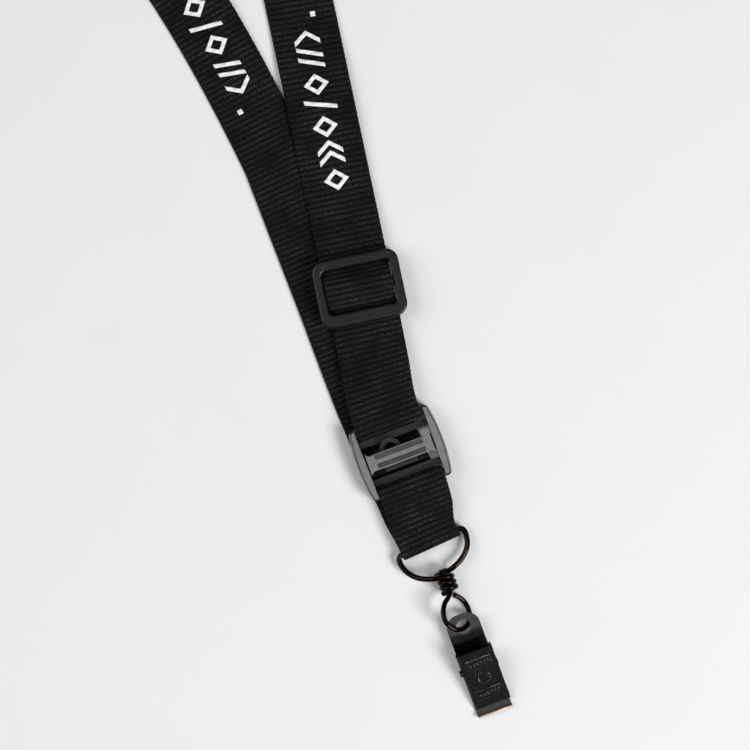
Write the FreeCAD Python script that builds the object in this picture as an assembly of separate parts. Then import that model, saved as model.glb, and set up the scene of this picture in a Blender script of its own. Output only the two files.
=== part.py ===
import FreeCAD, Part
import math
import os

# Lanyard badge holder lying flat, printed side up. +Y points to the neck end, +X to the right, +Z up,
# and z = 0 is the surface it lies on. Plan positions are taken from the middle of the buckle's bridge,
# and the whole model is moved at the end, so that its origin is bottom centre of everything but the
# neck strap.

# Webbing: one continuous strap
WEB_WIDTH = 20.0
WEB_THICKNESS = 1.0
LAYER_GAP = 0.1
FOLD_NARROWING = 1.8

# Buckle: socket above, plug below, two latch arms
BUCKLE_SIDE = 2.8
BUCKLE_END_SIDE = 1.7
BUCKLE_HALF_LENGTH = 10.9
BUCKLE_CORNER_RADIUS = 1.5
BUCKLE_BAR_THICKNESS = 1.8
BUCKLE_BAR_DEPTH = 2.6
BUCKLE_RAIL_THICKNESS = 0.9
BUCKLE_SPLIT = -3.0
BUCKLE_CLEARANCE = 0.3
SPLIT_GAP = 0.1
RIM_WALL = 0.4
RIM_TOP = 4.9
END_PLATE_GAP = 1.3
END_PLATE_REACH = 3.4
BRIDGE_HALF_LENGTH = 2.4
BRIDGE_END_HALF_LENGTH = 3.5
BRIDGE_FLARE_SAG = 0.35
BRIDGE_PLAIN_END = 2.2
BRIDGE_THICKNESS = 1.7
BRIDGE_POST = 0.8
GROOVE_CENTRES = (-1.8, -1.3, -0.8, 0.8, 1.3, 1.8)
GROOVE_WIDTH = 0.28
GROOVE_DEPTH = 0.35
GROOVE_END = 0.4
HOOK_CENTRE = (-2.15, 2.26)
HOOK_RADIUS = 3.2
HOOK_WIDTH = 1.3
TAB_LEFT = -5.7
TAB_RIGHT = 4.35
TAB_END = -3.75
TONGUE_THICKNESS = 1.4
ARM_GAP = 0.4
ARM_TIP_GAP = 0.3
ARM_INSET = 0.6
ARM_CORNER_RADIUS = 0.8
ARM_EDGE_ROUND = 0.2
ARM_TOP_THICKNESS = 1.2
ARM_RIB_INSET = 0.5
ARM_RIB_WIDTH = 0.9
EAR_WALL = 0.6
EAR_LENGTH = 4.5
EDGE_ROUND = 0.35
TALL = 20.0

# Slider (tri-glide)
SLIDER_CENTRE = (5.7, 49.1)
SLIDER_TURN = 8.5
SLIDER_SIDE = 2.6
SLIDER_LENGTH = 20.0
SLIDER_TOP_BAR = 3.1
SLIDER_BOTTOM_BAR = 3.9
SLIDER_THICKNESS = 2.2
SLIDER_CORNER_RADIUS = 3.7
SLIDER_WINDOW_RADIUS = 1.5
SLIDER_CLEARANCE = 0.2
SLIDER_EDGE_ROUND = 0.7
CENTRE_BAR_WIDTH = 3.2
CENTRE_BAR_THICKNESS = 1.4
CENTRE_BAR_OFFSET = 0.4
HUMP_MARGIN = 0.6
HUMP_RUN = 3.7
HUMP_RADIUS = 1.2
STITCH_HEIGHT = 0.25
STITCH_WIDTH = 14.0
STITCH_DEPTH = 1.0

# Swivel ring, bent from one wire, and the swivel eye
RING_WIRE = 1.65
RING_TURN = -4.0
RING_BAR_CENTRE = (-1.0, -27.4)
RING_SIDE_GAP = 0.075
RING_LEFT_SHOULDER = 0.76
RING_RIGHT_SHOULDER = 0.62
COIL_RADIUS = 2.0
COIL_TURNS = 3
COIL_PITCH = 1.7
COIL_FIRST = -38.4
COIL_LINK = 0.4
SHANK_X = -0.4
SHANK_Z = 3.0
EYE_WIRE = 1.5
EYE_ROLL = 35.0
SHANK_TOP = -36.4
SHANK_HEAD_RADIUS = 1.3
SHANK_HEAD_LENGTH = 0.6
EYE_BOTTOM = -54.05

# Clip
CLIP_X = -0.4
PLATE = 0.7
TAB_WIDTH = 10.0
TAB_TOP = -50.1
TAB_CORNER_RADIUS = 3.9
TAB_HOLE_CENTRE = -54.0
TAB_HOLE_RADIUS = 2.2
TAB_BEND = 11.0
LIP_BEND = 0.45
TAB_FLAT = 6.6
TAB_FOOT = 12.0
BASE_WIDTH = 10.6
JAW_END = -80.6
LIP_HEIGHT = 1.5
FLANGE = 0.6
PIN_Y = -66.7
PIN_Z = 2.6
PIN_RADIUS = 0.6
PIN_CLEARANCE = 0.1
PIN_HEAD_RADIUS = 1.0
PIN_HEAD_LENGTH = 0.6
PIN_EAR_RADIUS = 1.5
PIN_EAR_BELOW = 2.2
PIN_EAR_ABOVE = 4.4
SPRING_WIRE = 0.45
SPRING_RADIUS = 1.1
SPRING_TURNS = 6
SLEEVE_HALF = 0.05
LEVER_TOP = -61.6
LEVER_TOP_Z = 6.9
LEVER_SLOPE = 18.0
LEVER_LENGTH = 17.4
LEVER_WIDTH = 10.6
LEVER_X = 0.0
LEVER_CORNER = 0.25
LEVER_FLANGE_GAP = 0.25
EMBOSS = 0.15
EMBOSS_RIBS = 7
EMBOSS_LEAN = 0.25
EMBOSS_FRAMES = (-2.1, -11.9)

# Legs of the neck strap: places on the centre line, and the turn of the strap from +Y
LEFT_LEG = ((-1.9, -10.0), (-3.0, 8.0), (-3.45, 52.0), (-3.9, 93.0))
RIGHT_LEG_TOP = (18.9, 137.0)
ABOVE_SLIDER = 72.0
LEG_CLEARANCE = 0.3
DROP_SHARE = 0.67
NECK_ROUTE = (
    RIGHT_LEG_TOP, (30.0, 192.0), (45.0, 250.0), (64.0, 308.0), (74.0, 362.0), (57.0, 408.0),
    (12.0, 430.0), (-36.0, 417.0), (-65.0, 378.0), (-66.0, 324.0), (-54.0, 266.0),
    (-34.0, 208.0), (-9.5, 153.0), LEFT_LEG[-1],
)
TWIST_START = 155.0
TWIST_END = 290.0

# Widths that follow the webbing's
FOLD_WIDTH = WEB_WIDTH - FOLD_NARROWING
RING_HALF_WIDTH = FOLD_WIDTH / 2 + RING_SIDE_GAP + RING_WIRE / 2
BRIDGE_HALF_WIDTH = WEB_WIDTH / 2
ARM_INNER = WEB_WIDTH / 2 + ARM_GAP
ARM_TIP_INNER = ARM_INNER + ARM_TIP_GAP
ARM_RIB_INNER = ARM_INNER + ARM_RIB_INSET
ARM_RIB_OUTER = ARM_RIB_INNER + ARM_RIB_WIDTH
BUCKLE_HALF_WIDTH = ARM_INNER + BUCKLE_SIDE
BUCKLE_END_HALF_WIDTH = ARM_INNER + BUCKLE_END_SIDE
SLIDER_WINDOW = WEB_WIDTH + 2 * SLIDER_CLEARANCE
SLIDER_WIDTH = SLIDER_WINDOW + 2 * SLIDER_SIDE

# Levels of the webbing's layers, from the surface up
BACK_Z = 0.0
RETURN_Z = BACK_Z + WEB_THICKNESS + LAYER_GAP
BAR_Z = RETURN_Z + WEB_THICKNESS + LAYER_GAP
FRONT_Z = BAR_Z + BUCKLE_BAR_THICKNESS + LAYER_GAP
THROUGH_Z = RETURN_Z + WEB_THICKNESS + LAYER_GAP
CENTRE_BAR_Z = THROUGH_Z + LAYER_GAP
SEWN_TOP_Z = CENTRE_BAR_Z + CENTRE_BAR_THICKNESS + LAYER_GAP
HUMP_Z = SEWN_TOP_Z + WEB_THICKNESS + LAYER_GAP
SLIDER_Z = THROUGH_Z + WEB_THICKNESS + SLIDER_CLEARANCE
RING_Z = BACK_Z + WEB_THICKNESS + 0.125 + RING_WIRE / 2
FOLD_FRONT_Z = 2 * RING_Z - BACK_Z - WEB_THICKNESS

nodes = {}


def vec(x, y, z=0.0):
    return FreeCAD.Vector(x, y, z)


def box(x0, x1, y0, y1, z0, z1):
    return Part.makeBox(x1 - x0, y1 - y0, z1 - z0, vec(x0, y0, z0))


def rod(start, end, radius):
    return Part.makeCylinder(radius, (end - start).Length, start, end - start)


def joined(first, *others):
    return first.fuse(list(others)).removeSplitter()


def solid_of(shape):
    return shape.Solids[0] if len(shape.Solids) == 1 else shape


def rounded_edges(shape, radius, wanted):
    """The shape with the edges rounded whose box passes the test."""
    edges = [e for e in shape.Edges if wanted(e.BoundBox)]
    return shape.makeFillet(radius, edges)


def extruded(wire, z0, z1):
    face = Part.Face(wire)
    face.translate(vec(0, 0, z0))
    return face.extrude(vec(0, 0, z1 - z0))


def placed(shape, centre, turn):
    """Turns a shape clockwise about +Z, then moves it from the origin to a place in plan."""
    moved = shape.copy()
    moved.rotate(vec(0, 0), vec(0, 0, 1), -turn)
    moved.translate(vec(*centre))
    return moved


def bend(before, corner, after, radius):
    """The two ends and the middle of the arc that rounds a corner."""
    back = (before - corner).normalize()
    on = (after - corner).normalize()
    half = back.getAngle(on) / 2
    reach = radius / math.tan(half)
    inward = (back + on).normalize()
    middle = corner + inward * (radius / math.sin(half) - radius)
    return corner + back * reach, middle, corner + on * reach


def rounded_wire(points, radii):
    """An open path of straight runs joined by tangent arcs."""
    edges = []
    last = points[0]
    for k, radius in enumerate(radii, 1):
        start, middle, end = bend(points[k - 1], points[k], points[k + 1], radius)
        if (start - last).Length > 1e-6:
            edges.append(Part.makeLine(last, start))
        edges.append(Part.Arc(start, middle, end).toShape())
        last = end
    edges.append(Part.makeLine(last, points[-1]))
    return Part.Wire(edges)


def wire_sweep(path, diameter):
    edge = path.Edges[0]
    start = edge.valueAt(edge.FirstParameter)
    tangent = edge.tangentAt(edge.FirstParameter)
    ring = Part.Wire(Part.makeCircle(diameter / 2, start, tangent))
    return Part.Wire(path).makePipeShell([ring], True, False)


def strap_section(x, y, z_low, turn, width=WEB_WIDTH, tilt=0.0):
    """The strap's cross-section where it runs turn degrees clockwise from +Y, rolled tilt degrees."""
    t, a = math.radians(turn), math.radians(tilt)
    side = vec(math.cos(t), -math.sin(t))
    up = vec(0, 0, 1)
    across = side * math.cos(a) - up * math.sin(a)
    normal = up * math.cos(a) + side * math.sin(a)
    height = z_low + (width * abs(math.sin(a)) + WEB_THICKNESS * math.cos(a)) / 2
    middle = vec(x, y, height)
    corners = [
        middle + across * (sx * width / 2) + normal * (sz * WEB_THICKNESS / 2)
        for sx, sz in ((-1, -1), (1, -1), (1, 1), (-1, 1))
    ]
    return Part.makePolygon(corners + corners[:1])


def strap_loft(sections):
    return Part.makeLoft(sections, True, True)


def strap_profile(path, width=WEB_WIDTH):
    """A strap bent along a path in the YZ plane."""
    edge = path.Edges[0]
    start = edge.valueAt(edge.FirstParameter)
    tangent = edge.tangentAt(edge.FirstParameter)
    normal = vec(1, 0).cross(tangent)
    corners = [
        start + vec(1, 0) * (sx * width / 2) + normal * (sz * WEB_THICKNESS / 2)
        for sx, sz in ((-1, -1), (1, -1), (1, 1), (-1, 1))
    ]
    return path.makePipeShell([Part.makePolygon(corners + corners[:1])], True, False)


def loop_round(bar_y, z_low, z_high, out, low_out=None):
    """A strap's path round a bar at the origin's height: along below, a half turn, and back above."""
    radius = (z_high - z_low) / 2
    middle = (z_high + z_low) / 2
    side = -1 if out > bar_y else 1
    low = vec(0, bar_y, z_low)
    high = vec(0, bar_y, z_high)
    return Part.Wire([
        Part.makeLine(vec(0, out if low_out is None else low_out, z_low), low),
        Part.Arc(low, vec(0, bar_y + side * radius, middle), high).toShape(),
        Part.makeLine(high, vec(0, out, z_high)),
    ])


def side_outline(inner, inset, y0, y1):
    """The plan outline of one side of the buckle: straight inside, bowed outside."""
    middle = BUCKLE_HALF_WIDTH - inset
    ends = BUCKLE_END_HALF_WIDTH - inset
    bow = middle - ends
    radius = (BUCKLE_HALF_LENGTH ** 2 + bow ** 2) / (2 * bow)

    def edge_x(y):
        return middle - radius + math.sqrt(radius ** 2 - y ** 2)

    outer = Part.Arc(vec(edge_x(y0), y0), vec(edge_x((y0 + y1) / 2), (y0 + y1) / 2), vec(edge_x(y1), y1))
    return Part.Wire([
        Part.makeLine(vec(inner, y0), vec(edge_x(y0), y0)),
        outer.toShape(),
        Part.makeLine(vec(edge_x(y1), y1), vec(inner, y1)),
        Part.makeLine(vec(inner, y1), vec(inner, y0)),
    ])


def side_block(inner, inset, y0, y1, z0, z1, corners=(), radius=BUCKLE_CORNER_RADIUS):
    """A solid with a side's outline, with its outer corners rounded at the ends named."""
    block = extruded(side_outline(inner, inset, y0, y1), z0, z1)
    for y in corners:
        block = rounded_edges(
            block, radius,
            lambda b, y=y: b.ZLength > z1 - z0 - 0.01 and abs(b.YMin - y) < 0.01 and b.XMin > inner + 0.5,
        )
    return block


def mirrored(shape):
    return shape.mirror(vec(0, 0), vec(1, 0))


def wrapped_bar(y_inner, y_outer):
    """A bar that the strap goes round, rounded along its inner edge."""
    y0, y1 = min(y_inner, y_outer), max(y_inner, y_outer)
    half = BUCKLE_BAR_THICKNESS / 2
    bar = box(-ARM_INNER, ARM_INNER, y0, y1, BAR_Z, BAR_Z + BUCKLE_BAR_THICKNESS)
    return rounded_edges(
        bar, half * 0.95,
        lambda b: b.XLength > ARM_INNER and abs(b.YMin - y_inner) < 0.01 and b.YLength < 0.01,
    )


def buckle_end(sign):
    """The bar at one end of the buckle with the corners that carry it, on low rails to the split."""
    inner_edge = sign * (BUCKLE_HALF_LENGTH - BUCKLE_BAR_DEPTH)
    outer_edge = sign * BUCKLE_HALF_LENGTH
    split = BUCKLE_SPLIT + (0 if sign > 0 else -SPLIT_GAP)
    low, high = min(split, outer_edge), max(split, outer_edge)
    rail_top = RETURN_Z + BUCKLE_RAIL_THICKNESS
    bar_top = BAR_Z + BUCKLE_BAR_THICKNESS
    rail = side_block(ARM_INNER, 0.0, low, high, RETURN_Z, rail_top, corners=(outer_edge,))
    corner = side_block(
        ARM_INNER, 0.0, min(inner_edge, outer_edge), max(inner_edge, outer_edge),
        RETURN_Z, bar_top if sign > 0 else BAR_Z + BUCKLE_RAIL_THICKNESS, corners=(outer_edge,),
    )
    rim = side_block(ARM_INNER, 0.0, low, high, RETURN_Z, RIM_TOP, corners=(outer_edge,))
    rim = rim.cut(side_block(0.0, RIM_WALL, low - 1, high + 1, 0, TALL))
    half = joined(rail, corner, rim)
    near, far = inner_edge - sign * END_PLATE_REACH, inner_edge - sign * END_PLATE_GAP
    plate = box(-ARM_INNER, ARM_INNER, min(near, far), max(near, far), RETURN_Z, rail_top)
    return joined(wrapped_bar(inner_edge, outer_edge), half, mirrored(half), plate)


def bridge():
    """The ridged bridge, flared at its ends, on a post at each side."""
    top = FRONT_Z - LAYER_GAP * 2 + BRIDGE_THICKNESS
    bottom = top - BRIDGE_THICKNESS
    flare = BRIDGE_HALF_WIDTH - BRIDGE_PLAIN_END
    edges = []
    for x, y in ((1, 1), (1, -1), (-1, -1), (-1, 1)):
        inner = vec(x * flare, y * BRIDGE_HALF_LENGTH)
        outer = vec(x * BRIDGE_HALF_WIDTH, y * BRIDGE_END_HALF_LENGTH)
        middle = (inner + outer) / 2 + vec(x, -y) * BRIDGE_FLARE_SAG
        edges.append(Part.Arc(inner, middle, outer).toShape())
        if x == y:
            edges.append(Part.makeLine(outer, vec(outer.x, -outer.y)))
        else:
            edges.append(Part.makeLine(inner, vec(-inner.x, inner.y)))
    edges.sort(key=lambda e: math.atan2(e.CenterOfMass.y, e.CenterOfMass.x))
    plate = extruded(Part.Wire(edges), bottom, top)
    plate = rounded_edges(plate, EDGE_ROUND, lambda b: b.ZMin > top - 0.01)
    for y in GROOVE_CENTRES:
        groove = box(
            GROOVE_END - flare, flare - GROOVE_END, y - GROOVE_WIDTH / 2, y + GROOVE_WIDTH / 2,
            top - GROOVE_DEPTH, top + 1,
        )
        plate = plate.cut(groove)
    post = joined(
        box(BRIDGE_HALF_WIDTH - BRIDGE_POST, BRIDGE_HALF_WIDTH, -BRIDGE_HALF_LENGTH, BRIDGE_HALF_LENGTH,
            RETURN_Z, bottom),
        box(BRIDGE_HALF_WIDTH - BRIDGE_POST, ARM_RIB_INNER, -BRIDGE_HALF_LENGTH, BRIDGE_HALF_LENGTH,
            RETURN_Z, RETURN_Z + BUCKLE_RAIL_THICKNESS),
    )
    return joined(plate, post, mirrored(post)), bottom


def hook_tongue(top):
    """The tongue below the bridge, with its tab at one side and its curved hook at the other."""
    tab = box(TAB_LEFT, TAB_RIGHT, TAB_END, BRIDGE_HALF_LENGTH, top - TONGUE_THICKNESS, top)
    centre = vec(*HOOK_CENTRE, top - TONGUE_THICKNESS)
    ring = Part.makeCylinder(HOOK_RADIUS, TONGUE_THICKNESS, centre)
    hole = Part.makeCylinder(HOOK_RADIUS - HOOK_WIDTH, TONGUE_THICKNESS, centre)
    upper = box(-TALL, TALL, HOOK_CENTRE[1], TALL, 0, TALL)
    return joined(tab, ring.cut(hole).common(upper))


def buckle_socket():
    plate, bottom = bridge()
    rail_top = RETURN_Z + BUCKLE_RAIL_THICKNESS
    bar_inner = BUCKLE_HALF_LENGTH - BUCKLE_BAR_DEPTH
    ear = side_block(0.0, 0.0, bar_inner - EAR_LENGTH, bar_inner, rail_top, BAR_Z + BUCKLE_BAR_THICKNESS)
    inside = side_block(0.0, EAR_WALL, bar_inner - EAR_LENGTH - 1.0, bar_inner + 1.0, 0, TALL)
    ear = ear.cut(inside)
    return joined(buckle_end(1), plate, hook_tongue(bottom), ear, mirrored(ear))


def buckle_plug():
    return buckle_end(-1)


def latch_arm():
    """The right-hand arm: a bowed top plate on a rib whose rounded tip runs in the socket's corner."""
    top = FRONT_Z + ARM_TOP_THICKNESS - LAYER_GAP
    under = BAR_Z + BUCKLE_BAR_THICKNESS + LAYER_GAP
    length = BUCKLE_HALF_LENGTH - ARM_INSET
    plate = side_block(
        ARM_INNER, ARM_INSET, -length, length, under, top, (-length, length), ARM_CORNER_RADIUS
    )
    taper = Part.makePolygon([
        vec(ARM_INNER - 1, BUCKLE_SPLIT), vec(ARM_INNER, BUCKLE_SPLIT), vec(ARM_TIP_INNER, length + 1),
        vec(ARM_INNER - 1, length + 1), vec(ARM_INNER - 1, BUCKLE_SPLIT),
    ])
    plate = plate.cut(extruded(taper, 0, TALL))
    plate = rounded_edges(plate, ARM_EDGE_ROUND, lambda b: b.ZMin > top - 0.01)
    bar_inner = BUCKLE_HALF_LENGTH - BUCKLE_BAR_DEPTH
    low = RETURN_Z + BUCKLE_RAIL_THICKNESS + LAYER_GAP
    foot, tip = BUCKLE_CLEARANCE - bar_inner, bar_inner - BUCKLE_CLEARANCE
    rib = box(ARM_RIB_INNER, ARM_RIB_OUTER, foot, tip, low, under)
    middle = side_block(ARM_INNER, ARM_INSET, foot, bar_inner - EAR_LENGTH - 0.5, low, under)
    root = box(ARM_RIB_INNER, ARM_RIB_OUTER, -bar_inner - 1.5, -bar_inner + 1.0,
               BAR_Z + BUCKLE_RAIL_THICKNESS + LAYER_GAP, under)
    return joined(plate, rib, middle, root)


def slider_frame():
    half_w, half_l = SLIDER_WIDTH / 2, SLIDER_LENGTH / 2
    top = SLIDER_Z + SLIDER_THICKNESS
    plate = box(-half_w, half_w, -half_l, half_l, SLIDER_Z, top)
    rails = box(-half_w, half_w, -half_l, half_l, CENTRE_BAR_Z, SLIDER_Z)
    rails = rails.cut(box(-SLIDER_WINDOW / 2, SLIDER_WINDOW / 2, -half_l, half_l, 0, top))
    plate = joined(plate, rails)
    plate = rounded_edges(
        plate, SLIDER_CORNER_RADIUS, lambda b: b.ZLength > 1 and b.XLength < 0.01 and b.YLength < 0.01
        and abs(abs(b.XMin) - half_w) < 0.01
    )
    window = box(
        -SLIDER_WINDOW / 2, SLIDER_WINDOW / 2, SLIDER_BOTTOM_BAR - half_l, half_l - SLIDER_TOP_BAR, 0, top
    )
    window = rounded_edges(window, SLIDER_WINDOW_RADIUS, lambda b: b.ZLength > 1)
    frame = plate.cut(window)
    frame = rounded_edges(frame, SLIDER_EDGE_ROUND, lambda b: b.ZMin > top - 0.01)
    bar = box(
        -SLIDER_WINDOW / 2 - 0.5, SLIDER_WINDOW / 2 + 0.5,
        CENTRE_BAR_OFFSET - CENTRE_BAR_WIDTH / 2, CENTRE_BAR_OFFSET + CENTRE_BAR_WIDTH / 2,
        CENTRE_BAR_Z, CENTRE_BAR_Z + CENTRE_BAR_THICKNESS,
    )
    bar = rounded_edges(bar, CENTRE_BAR_THICKNESS * 0.46, lambda b: b.XLength > WEB_WIDTH)
    return joined(frame, bar)


def sewn_end():
    """The strap's end: flat below, up round the centre bar and down to where it is sewn."""
    half = WEB_THICKNESS / 2
    low = RETURN_Z + half
    high = SEWN_TOP_Z + half
    radius = (high - low) / 2
    reach = CENTRE_BAR_WIDTH / 2 - CENTRE_BAR_THICKNESS / 2
    near, far = CENTRE_BAR_OFFSET - reach, CENTRE_BAR_OFFSET + reach
    middle = (low + high) / 2
    slant = radius * math.sqrt(0.5)
    path = Part.Wire([
        Part.makeLine(vec(0, -SLIDER_LENGTH / 2, low), vec(0, far, low)),
        Part.Arc(vec(0, far, low), vec(0, far + radius, middle), vec(0, far, high)).toShape(),
        Part.makeLine(vec(0, far, high), vec(0, near, high)),
        Part.Arc(
            vec(0, near, high), vec(0, near - slant, middle + slant), vec(0, near - radius, middle)
        ).toShape(),
        Part.makeLine(vec(0, near - radius, middle), vec(0, near - radius, THROUGH_Z)),
    ])
    return strap_profile(path)


def strap_over_bar():
    """The strap's run through the slider: under its end bars and over the sewn end."""
    half = WEB_THICKNESS / 2
    low, high = THROUGH_Z + half, HUMP_Z + half
    flat = CENTRE_BAR_WIDTH / 2 + HUMP_MARGIN
    foot = flat + HUMP_RUN
    points = [
        vec(0, -SLIDER_LENGTH / 2, low), vec(0, CENTRE_BAR_OFFSET - foot, low),
        vec(0, CENTRE_BAR_OFFSET - flat, high), vec(0, CENTRE_BAR_OFFSET + flat, high),
        vec(0, CENTRE_BAR_OFFSET + foot, low), vec(0, SLIDER_LENGTH / 2, low),
    ]
    return strap_profile(rounded_wire(points, (HUMP_RADIUS,) * 4))


def stitches(centre, turn, z_low):
    """A bar tack: a close row of thread across the strap."""
    wide, deep = STITCH_WIDTH / 2, STITCH_DEPTH / 2
    bar = box(-wide, wide, -deep, deep, z_low, z_low + STITCH_HEIGHT)
    bar = rounded_edges(bar, STITCH_HEIGHT * 0.4, lambda b: b.XLength > 1 and b.ZMin > z_low + 0.01)
    return placed(bar, centre, turn)


def on_slider(along):
    """A place in plan on the slider's centre line."""
    t = math.radians(SLIDER_TURN)
    return SLIDER_CENTRE[0] + along * math.sin(t), SLIDER_CENTRE[1] + along * math.cos(t)


def adjuster_loop():
    """Down from the slider over the socket's bar, round it and back up to the slider below."""
    bar_y = BUCKLE_HALF_LENGTH - BUCKLE_BAR_DEPTH + BUCKLE_BAR_THICKNESS / 2
    out = BUCKLE_HALF_LENGTH + 2.0
    half = WEB_THICKNESS / 2
    wrap = strap_profile(loop_round(bar_y, RETURN_Z + half, FRONT_Z + half, out))
    x, y = on_slider(-SLIDER_LENGTH / 2)
    front = strap_loft([
        strap_section(0, out, FRONT_Z, 0),
        strap_section(x / 2, (out + y) / 2, THROUGH_Z + 0.6, SLIDER_TURN),
        strap_section(x, y, THROUGH_Z, SLIDER_TURN),
    ])
    back = strap_loft([strap_section(0, out, RETURN_Z, 0), strap_section(x, y, RETURN_Z, SLIDER_TURN)])
    return joined(wrap, front, back)


def route_turn(start, end):
    """How far the strap turns from +Y between two places of its route."""
    return math.degrees(math.atan2(end[0] - start[0], end[1] - start[1]))


def legs_clear(x, y, slope):
    """How far up the right leg its edge has come off the left leg's."""
    (top_x, top_y), (next_x, next_y) = LEFT_LEG[-1], NECK_ROUTE[-2]
    left_slope = (next_x - top_x) / (next_y - top_y)
    apart_at_zero = (x - slope * y) - (top_x - left_slope * top_y)
    return (WEB_WIDTH + LEG_CLEARANCE - apart_at_zero) / (slope - left_slope)


def strap_above_slider():
    """From the slider up the right leg: off the left leg's back and down to the surface."""
    x, y = on_slider(SLIDER_LENGTH / 2)
    end_x, end_y = RIGHT_LEG_TOP
    slope = (end_x - x) / (end_y - y)
    drop_start = legs_clear(x, y, slope)
    drop_end = drop_start + (end_y - drop_start) * DROP_SHARE

    def at(place, z_low):
        return strap_section(x + (place - y) * slope, place, z_low, SLIDER_TURN)

    return strap_loft([
        strap_section(x, y, THROUGH_Z, SLIDER_TURN), at(ABOVE_SLIDER, RETURN_Z), at(drop_start, RETURN_Z),
        at(drop_end, BACK_Z), strap_section(end_x, end_y, BACK_Z, route_turn(*NECK_ROUTE[:2])),
    ])


def left_leg_lower():
    turns = (0, 0, 0, route_turn(NECK_ROUTE[-1], NECK_ROUTE[-2]))
    return strap_loft([strap_section(x, y, BACK_Z, turn) for (x, y), turn in zip(LEFT_LEG, turns)])


def lower_strap():
    """Round the plug's bar, down the front, round the ring's bar and up the back, with a sewn tail."""
    half = WEB_THICKNESS / 2
    bar_y = -(BUCKLE_HALF_LENGTH - BUCKLE_BAR_DEPTH + BUCKLE_BAR_THICKNESS / 2)
    out = -(BUCKLE_HALF_LENGTH + 1.6)
    wrap = strap_profile(loop_round(bar_y, RETURN_Z + half, FRONT_Z + half, out))
    tail = strap_loft([strap_section(0, out, RETURN_Z, 0), strap_section(-0.9, -16.2, RETURN_Z, 3.0)])
    fold = strap_profile(
        loop_round(0.0, BACK_Z + half, FOLD_FRONT_Z + half, 2.5), FOLD_WIDTH
    )
    fold = placed(fold, RING_BAR_CENTRE, RING_TURN)
    t = math.radians(RING_TURN)
    x = RING_BAR_CENTRE[0] + 2.5 * math.sin(t)
    y = RING_BAR_CENTRE[1] + 2.5 * math.cos(t)
    front = strap_loft([
        strap_section(0, out, FRONT_Z, 0), strap_section(-0.5, -18.5, FOLD_FRONT_Z + 0.2, -1.0),
        strap_section(x, y, FOLD_FRONT_Z, RING_TURN, FOLD_WIDTH),
    ])
    top_x, top_y = LEFT_LEG[0]
    back = strap_loft([
        strap_section(x, y, BACK_Z, RING_TURN, FOLD_WIDTH), strap_section(-1.4, -18.5, BACK_Z, 0),
        strap_section(top_x, top_y, BACK_Z, 0),
    ])
    return joined(wrap, tail, front, fold, back)


def swivel_ring():
    """The D-shaped ring with its coil, drawn flat and tilted up about its bar to meet the shank."""
    bar_x, bar_y = RING_BAR_CENTRE
    t = math.radians(RING_TURN)
    left_end = vec(bar_x - RING_HALF_WIDTH * math.cos(t), bar_y + RING_HALF_WIDTH * math.sin(t), RING_Z)
    right_end = vec(bar_x + RING_HALF_WIDTH * math.cos(t), bar_y - RING_HALF_WIDTH * math.sin(t), RING_Z)
    coil_y = COIL_FIRST
    coil_wire = RING_WIRE - 0.1
    top = SHANK_Z + COIL_RADIUS
    path = rounded_wire(
        [
            vec(SHANK_X, coil_y, top), vec(-3.4, coil_y + 0.15, top - 0.2),
            vec(bar_x - RING_LEFT_SHOULDER * RING_HALF_WIDTH, -35.4, 2.6),
            left_end + vec(-0.4, -1.0, 0.1), left_end + vec(0.6, 0.0, 0.0),
            right_end + vec(0.1, 0.0, 0.0), right_end + vec(0.3, -4.2, 0.4),
            vec(bar_x + RING_RIGHT_SHOULDER * RING_HALF_WIDTH, -35.0, 2.3),
            vec(SHANK_X + COIL_RADIUS, coil_y + 1.6, SHANK_Z - 0.3),
            vec(SHANK_X + COIL_RADIUS, coil_y - 1.2, SHANK_Z),
        ],
        (2.0, 3.5, 1.1, 0.95, 0.95, 3.0, 3.0, 1.6),
    )
    ring = wire_sweep(path, RING_WIRE)
    places = [coil_y - k * COIL_PITCH for k in range(COIL_TURNS)]
    turns = [
        Part.makeTorus(COIL_RADIUS, coil_wire / 2, vec(SHANK_X, y, SHANK_Z), vec(0, 1)) for y in places
    ]
    side = SHANK_X - COIL_RADIUS
    links = [
        rod(vec(side, y, SHANK_Z), vec(side, below, SHANK_Z), coil_wire * COIL_LINK)
        for y, below in zip(places, places[1:])
    ]
    return joined(ring, *turns, *links)


def swivel_eye():
    """A headed shank that turns in the coil, bent into an eye that closes on it."""
    roll = math.radians(EYE_ROLL)

    def at(across, y):
        return vec(SHANK_X + across * math.cos(roll), y, SHANK_Z - across * math.sin(roll))

    path = rounded_wire(
        [
            at(0, SHANK_TOP), at(0, -44.0), at(-5.3, -47.0), at(-5.3, -52.3), at(-0.7, EYE_BOTTOM - 0.9),
            at(3.8, -52.4), at(3.8, -46.8), at(1.55, -44.6),
        ],
        (2.4, 2.8, 2.6, 3.6, 2.4, 1.6),
    )
    head = rod(vec(SHANK_X, SHANK_TOP + SHANK_HEAD_LENGTH, SHANK_Z), vec(SHANK_X, SHANK_TOP, SHANK_Z),
               SHANK_HEAD_RADIUS)
    return joined(wire_sweep(path, EYE_WIRE), head)


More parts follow.
